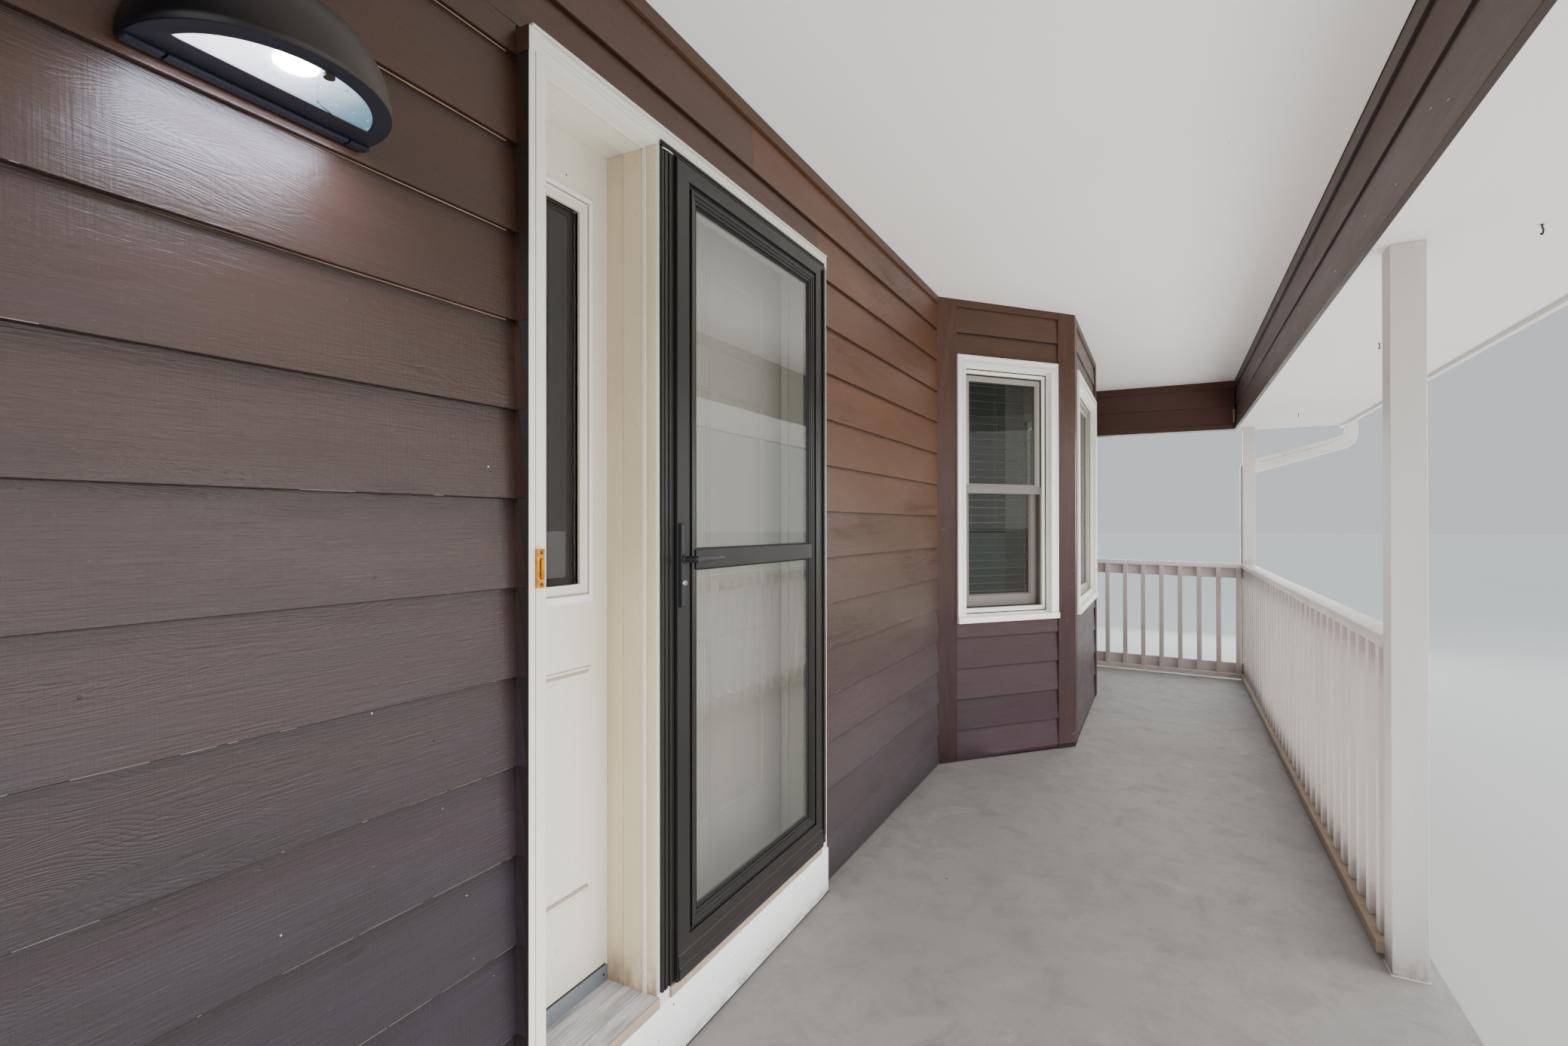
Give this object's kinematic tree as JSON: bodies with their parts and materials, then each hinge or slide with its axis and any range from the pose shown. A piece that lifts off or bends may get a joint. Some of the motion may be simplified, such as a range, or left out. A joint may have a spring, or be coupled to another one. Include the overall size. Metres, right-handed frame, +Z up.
{
  "type": "covered front porch with house wall",
  "caption": "Covered front porch: lap-sided wall with storm door, sidelight and bay window, boarded ceiling, header, posts, baluster railing, gutter and sloped roof over a slab.",
  "frame": {"origin": "ground level under the centre of the whole porch", "axes": "+X along the porch towards the railed far end, -Y towards the street, +Z up"},
  "size_m": [8.095, 2.821, 3.9685],
  "materials": {
    "concrete": "broom-finished grey concrete with dust and stains",
    "foundation_concrete": "cast concrete",
    "wall_board": "plain framed wall behind the cladding, pale plaster face inside",
    "floor_board": "plain floor boards",
    "brown_siding": "brown solid stain on rough-sawn bevel siding",
    "brown_trim": "brown solid stain on trim boards",
    "white_trim": "white gloss paint on wood",
    "sash_paint": "cream-white paint on wood",
    "cream_paint": "cream-white satin paint",
    "entry_paint": "off-white satin paint on a panelled door",
    "weathered_wood": "bare weathered grey wood",
    "post_paint": "off-white paint on a square post",
    "rail_paint": "weathered off-white paint",
    "ceiling_paint": "matt white paint on smooth board",
    "white_metal": "white enamel on sheet metal",
    "dark_aluminium": "dark bronze coated extrusion",
    "black_metal": "black coated cast metal",
    "brass": "lacquered brass",
    "glass": "clear window glass",
    "lens_glass": "frosted textured glass",
    "blind_slat": "horizontal blind slats",
    "shingle": "granule-faced shingles"
  },
  "bodies": {
    "porch": {"porch_slab": "concrete", "foundation": "foundation_concrete", "wall_left": "wall_board", "wall_over_door": "wall_board", "wall_right": "wall_board", "wall_upper": "wall_board", "bay_wall_near": "wall_board", "bay_wall_front": "wall_board", "bay_wall_far": "wall_board", "bay_floor": "floor_board", "wall_siding": "brown_siding", "bay_siding": "brown_siding", "corner_boards": "brown_trim", "frieze_boards": "brown_trim", "window_casings": "white_trim", "window_sashes": "sash_paint", "window_glass": "glass", "window_blinds": "blind_slat", "door_casing": "white_trim", "door_frame": "cream_paint", "door_sill": "weathered_wood", "riser_board": "white_trim", "sidelight_panel": "cream_paint", "storm_frame": "dark_aluminium", "doorbell": "brass", "wall_light_hood": "black_metal", "wall_light_lens": "lens_glass", "porch_ceiling": "ceiling_paint", "front_beam": "brown_trim", "end_beams": "brown_trim", "outer_soffit": "ceiling_paint", "fascia_boards": "white_trim", "gutter": "white_metal", "downspout": "white_metal", "porch_posts": "post_paint", "rail_caps": "rail_paint", "back_rails": "rail_paint", "balusters": "rail_paint", "roof_deck": "shingle", "gable_walls": "brown_siding"},
    "storm_door": {"storm_leaf": "dark_aluminium", "storm_glass": "glass", "storm_handle_plate": "black_metal"},
    "storm_handle": {"storm_lever": "black_metal"},
    "entry_leaf": {"entry_door": "entry_paint", "entry_knob": "brass"}
  },
  "joints": [
    {"name": "storm_hinge", "type": "hinge", "parent": "porch", "child": "storm_door", "pos_m": [-1.3775, 1.1295, 1.4], "axis": [0, 0, 1], "range_deg": [0, 100]},
    {"name": "storm_lever_turn", "type": "hinge", "parent": "storm_door", "child": "storm_handle", "pos_m": [-2.2355, 1.1185, 1.407], "axis": [0, 1, 0], "range_deg": [0, 40], "stiffness_Nm_per_rad": 0.4, "springref_deg": -34.38},
    {"name": "entry_hinge", "type": "hinge", "parent": "porch", "child": "entry_leaf", "pos_m": [-1.365, 1.3635, 1.4], "axis": [0, 0, -1], "range_deg": [0, 95]}
  ]
}
